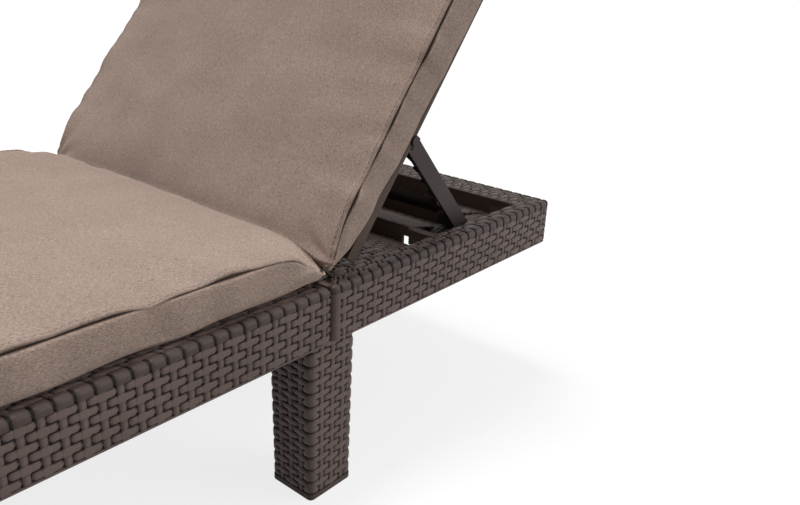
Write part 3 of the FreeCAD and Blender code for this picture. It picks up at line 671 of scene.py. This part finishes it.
def shape_cover(bm, length, crown, tail_lean, corner_drop, ear, gathered_end):
    """Bring the box to the pad's form: ends drawn in, corners rounded, top crowned."""
    end_reach, gather_reach, ear_reach = 0.06, 0.034, 0.05
    crown_reach, lean_reach = 0.14 * length, 0.16 * length
    gather, lower_draw = 0.7, 0.4 * tail_lean
    middle = length / 2
    for vert in bm.verts:
        x, y, z = vert.co
        from_end = min(x, length - x)
        from_side = seam_half - abs(y)
        at_crease = abs(gathered_end - x) < middle
        flatter, steepness = (0.34, 3) if at_crease else (0.4, 8)
        height = 1 - flatter * max(0, 1 - from_end / end_reach) ** steepness
        corner = math.hypot(abs(gathered_end - x), from_side)
        pinch = math.exp(-(corner / gather_reach) ** 2)
        height *= 1 - (gather - corner_drop) * pinch
        rise = z / cushion_thick
        high = cushion_thick * ((1 + height) / 2 - corner_drop * pinch)
        low = cushion_thick * (1 - height) / 2
        full = crown * (1 - math.exp(-from_end / crown_reach)) * (1 - (y / seam_half) ** 2)
        out = 4 * rise * (1 - rise) * height * seam_bulge
        draw = side_draw * rise * math.sin(math.pi * x / length)
        draw += lower_draw * (1 - rise) * max(0, 1 - x / middle)
        across = Vector((x - middle, y * (1 - draw / seam_half)))
        reach = Vector((middle - seam_bulge, seam_half - draw))
        radius = crease_radius if at_crease else corner_radius
        inner = reach - Vector((radius, radius))
        across.x *= reach.x / middle
        offset = Vector((abs(across.x) - inner.x, abs(across.y) - inner.y))
        if offset.x > 0 and offset.y > 0:
            offset *= max(offset) / offset.length
            across = Vector((math.copysign(inner.x + offset.x, across.x),
                             math.copysign(inner.y + offset.y, across.y)))
        if from_side < 1e-6:
            across.y += math.copysign(out, y)
        if from_end < 1e-6:
            across.x += math.copysign(out, x - middle)
        lean = tail_lean * max(0, 1 - x / lean_reach) * (1 - rise) * (1 - pinch)
        lean += math.copysign(ear, gathered_end - middle) * math.exp(-(corner / ear_reach) ** 2)
        vert.co = (middle + across.x + lean, across.y, low + rise * (high - low) + full * rise)


def swell(piece, most):
    """Blow the cover up with cloth pressure, its rest face and seams held, no further than most."""
    frames = 20
    mesh = piece.data
    start = [vert.co.copy() for vert in mesh.vertices]
    upper = mesh.attributes["upper_seam"].data
    still = [vert.index for vert in mesh.vertices
             if abs(upper[vert.index].value) < 1e-6 or vert.co.z < 1e-6]
    held = piece.vertex_groups.new(name="held")
    held.add(still, 1, "REPLACE")
    cloth = piece.modifiers.new("pressure", "CLOTH")
    cloth.settings.quality = 6
    cloth.settings.mass = 0.3
    cloth.settings.tension_stiffness = 15
    cloth.settings.compression_stiffness = 15
    cloth.settings.shear_stiffness = 8
    cloth.settings.bending_stiffness = 0.6
    cloth.settings.use_pressure = True
    cloth.settings.uniform_pressure_force = 4
    cloth.settings.vertex_group_mass = "held"
    cloth.settings.effector_weights.gravity = 0
    cloth.collision_settings.use_collision = False
    cloth.point_cache.frame_end = frames
    for step in range(1, frames + 1):
        bpy.context.scene.frame_set(step)
    bpy.context.view_layer.objects.active = piece
    bpy.ops.object.modifier_apply(modifier=cloth.name)
    bpy.context.scene.frame_set(1)
    moved = [vert.co - begin for vert, begin in zip(mesh.vertices, start)]
    furthest = max(move.length for move in moved)
    for vert, begin, move in zip(mesh.vertices, start, moved):
        vert.co = begin + move * min(1, most / furthest)


def sew(bm, gathered_end, seed):
    """Tuck the seams in, pucker the cloth along them and gather it at the crease's corners."""
    tuck_depth, tuck_width, tuck_below_edge = 0.0044, 0.0019, 0.0012
    ridge_height, ridge_width, ridge_at = 0.0014, 0.0022, 0.0048
    pucker_height, pucker_reach = 0.0034, 0.028
    drawn_height, drawn_reach = 0.0050, 0.10
    sag_height, ruffle_height = 0.0036, 0.0012
    fold_height, fold_reach, fold_start, fold_rate = 0.0034, 0.045, 0.03, 10
    sway_height, sway_reach = 0.0028, 0.03
    lift_height, lift_reach, lift_share = 0.0055, 0.016, 0.25
    calm_share, calm_reach = 0.85, 0.03
    rest_height, side_depth = 0.012, 0.006
    upper, lower, run = (bm.verts.layers.float[name] for name in seam_readings)
    bm.normal_update()
    moves = []

    def wave(*place):
        return noise.noise(Vector(place))

    for vert in bm.verts:
        x, y, z = vert.co
        along = vert[run]
        near_seam = min(abs(vert[upper]), abs(vert[lower]))
        groove = min(abs(vert[upper] + tuck_below_edge), abs(vert[lower]))
        tuck = -tuck_depth * math.exp(-(groove / tuck_width) ** 2)
        tuck += ridge_height * math.exp(-((vert[upper] - ridge_at) / ridge_width) ** 2)
        calm = 1 - calm_share * math.exp(-abs(x - gathered_end) / calm_reach)
        ripple = wave(along * 24, seed, y * 3) + 0.5 * wave(along * 60, seed + 5, 0)
        pucker = pucker_height * ripple * math.exp(-near_seam / pucker_reach) * calm
        drawn = wave(x * 26, y * 8, seed + 11)
        pucker += drawn_height * drawn * math.exp(-(seam_half - abs(y)) / drawn_reach) * calm
        sag = sag_height * wave(x * 7, y * 7, seed) + ruffle_height * wave(x * 22, y * 22, seed + 9)
        free = min(1, z / rest_height)
        corner = Vector((x - gathered_end, seam_half - abs(y), z - cushion_thick / 2))
        far = corner.length
        fan = math.atan2(corner.z if corner.y < side_depth else corner.y, abs(corner.x) + 1e-6)
        fold = fold_height * math.cos(fold_rate * fan + 2 * seed) * math.exp(-far / fold_reach)
        fold *= min(1, far / fold_start)
        move = vert.normal * (tuck + (pucker + sag + fold) * free)
        sway = wave(along * 9, seed + 3, 0) * math.exp(-near_seam / sway_reach)
        move.z += sway_height * sway * free * calm
        lift = max(0, lift_share + wave(along * 13, seed + 7, y))
        move.z += lift_height * lift * math.exp(-(vert[lower] / lift_reach) ** 2)
        moves.append(move)
    for vert, move in zip(bm.verts, moves):
        vert.co += move


def pad(name, node, material, body, to_flat, seed, gathered_first, crown, most_swell, tail_lean,
        corner_drop, ear):
    """A cushion in place of its solid: cut as a box, swollen, subdivided, sewn and set down."""
    solid = [to_flat @ vert.co for vert in frame["nodes"][node].data.vertices]
    low_x, high_x = min(p.x for p in solid), max(p.x for p in solid)
    rest = min(p.z for p in solid)
    length = high_x - low_x
    gathered_end = 0 if gathered_first else length
    bm = boxed_cover(length)
    shape_cover(bm, length, crown, tail_lean, corner_drop, ear, gathered_end)
    piece = add_piece(name, bm, material, body, "cushion_fabric", node)
    swell(piece, most_swell)
    finer = piece.modifiers.new("finer", "SUBSURF")
    finer.levels = finer.render_levels = 1
    bpy.context.view_layer.objects.active = piece
    bpy.ops.object.modifier_apply(modifier=finer.name)
    bm = bmesh.new()
    bm.from_mesh(piece.data)
    sew(bm, gathered_end, seed)
    bm.transform(to_flat.inverted() @ Matrix.Translation((low_x, 0, rest)))
    for face in bm.faces:
        face.smooth = True
    bm.to_mesh(piece.data)
    bm.free()


back_angle = math.radians(52)
hinge = Vector(frame["joints"][0]["pos_m"])
on_back = Matrix.Rotation(back_angle, 4, "Y") @ Matrix.Translation(-hinge)
seat_cloth = taupe_cloth("taupe cloth", 0)
pad("seat_pad", "seat_cushion", seat_cloth, "frame", Matrix.Identity(4), 1, gathered_first=False,
    crown=0.009, most_swell=0.003, tail_lean=0, corner_drop=0.55, ear=0.004)
back_cloth = taupe_cloth("taupe cloth on the backrest", back_angle)
pad("back_pad", "back_cushion", back_cloth, "backrest", on_back, 2, gathered_first=True,
    crown=0.010, most_swell=0.006, tail_lean=0.016, corner_drop=-0.15, ear=0.012)


# Studio: a plain pale floor and surround that the camera sees as white around the shadow, a
# broad soft lamp overhead and a softer one low on the near side by the head end, and the
# camera where the photograph was taken from.
def seen_white(tree):
    """One where a ray comes from the camera, a gloss or a glass, nought for other light."""
    path = tree.nodes.new("ShaderNodeLightPath")
    seen = path.outputs["Is Camera Ray"]
    for ray in ("Is Glossy Ray", "Is Transmission Ray"):
        more = tree.nodes.new("ShaderNodeMath")
        more.operation = "MAXIMUM"
        tree.links.new(seen, more.inputs[0])
        tree.links.new(path.outputs[ray], more.inputs[1])
        seen = more.outputs["Value"]
    return seen


floor_paint = bpy.data.materials.new("pale floor")
floor_paint.use_nodes = True
floor_tree = floor_paint.node_tree
floor_tree.nodes.clear()
plain_floor = floor_tree.nodes.new("ShaderNodeBsdfDiffuse")
plain_floor.inputs["Color"].default_value = (0.32, 0.32, 0.32, 1)
shadow_floor = floor_tree.nodes.new("ShaderNodeBsdfDiffuse")
shadow_floor.inputs["Color"].default_value = (0.25, 0.25, 0.25, 1)
white_floor = floor_tree.nodes.new("ShaderNodeEmission")
white_floor.inputs["Strength"].default_value = 0.80
both_floors = floor_tree.nodes.new("ShaderNodeAddShader")
floor_tree.links.new(shadow_floor.outputs[0], both_floors.inputs[0])
floor_tree.links.new(white_floor.outputs[0], both_floors.inputs[1])
floor_choice = floor_tree.nodes.new("ShaderNodeMixShader")
floor_tree.links.new(seen_white(floor_tree), floor_choice.inputs["Fac"])
floor_tree.links.new(plain_floor.outputs[0], floor_choice.inputs[1])
floor_tree.links.new(both_floors.outputs[0], floor_choice.inputs[2])
floor_out = floor_tree.nodes.new("ShaderNodeOutputMaterial")
floor_tree.links.new(floor_choice.outputs[0], floor_out.inputs["Surface"])

floor = bmesh.new()
bmesh.ops.create_grid(floor, x_segments=1, y_segments=1, size=30)
floor_mesh = bpy.data.meshes.new("studio_floor")
floor.to_mesh(floor_mesh)
floor.free()
floor_piece = bpy.data.objects.new("studio_floor", floor_mesh)
bpy.context.scene.collection.objects.link(floor_piece)
floor_mesh.materials.append(floor_paint)

world = bpy.data.worlds.new("studio")
bpy.context.scene.world = world
world.use_nodes = True
sky_tree = world.node_tree
soft_sky = sky_tree.nodes["Background"]
soft_sky.inputs["Color"].default_value = (1, 1, 1, 1)
soft_sky.inputs["Strength"].default_value = 0.27
white_sky = sky_tree.nodes.new("ShaderNodeBackground")
white_sky.inputs["Color"].default_value = (1, 1, 1, 1)
sky_choice = sky_tree.nodes.new("ShaderNodeMixShader")
sky_tree.links.new(seen_white(sky_tree), sky_choice.inputs["Fac"])
sky_tree.links.new(soft_sky.outputs[0], sky_choice.inputs[1])
sky_tree.links.new(white_sky.outputs[0], sky_choice.inputs[2])
sky_tree.links.new(sky_choice.outputs[0], sky_tree.nodes["World Output"].inputs["Surface"])

for lamp_name, energy, spread, towards in (("key", 2.4, 24, (0.05, -0.25, -0.97)),
                                           ("fill", 1.2, 40, (-0.55, 0.75, -0.35))):
    lamp = bpy.data.lights.new(lamp_name, "SUN")
    lamp.energy = energy
    lamp.angle = math.radians(spread)
    lamp_piece = bpy.data.objects.new(lamp_name, lamp)
    lamp_piece.rotation_mode = "QUATERNION"
    lamp_piece.rotation_quaternion = Vector(towards).to_track_quat("-Z", "Y")
    bpy.context.scene.collection.objects.link(lamp_piece)

azimuth, elevation, roll = (math.radians(a) for a in (-50.932, 21.298, 2.564))
camera_place = (-0.183238, -0.878769, 0.634028)
focal_pixels, image_pixels = 764.378, 800
back = Vector((math.sin(azimuth) * math.cos(elevation), -math.cos(azimuth) * math.cos(elevation),
               math.sin(elevation)))
level_right = Vector((0, 0, 1)).cross(back).normalized()
level_up = back.cross(level_right)
right = math.cos(roll) * level_right + math.sin(roll) * level_up
up = math.cos(roll) * level_up - math.sin(roll) * level_right
camera = bpy.data.cameras.new("camera")
camera.sensor_width = 36
camera.lens = camera.sensor_width * focal_pixels / image_pixels
camera_piece = bpy.data.objects.new("camera", camera)
facing = Matrix((right, up, back)).transposed().to_4x4()
camera_piece.matrix_world = Matrix.Translation(camera_place) @ facing
bpy.context.scene.collection.objects.link(camera_piece)
bpy.context.scene.camera = camera_piece
bpy.context.scene.view_settings.view_transform = "Standard"
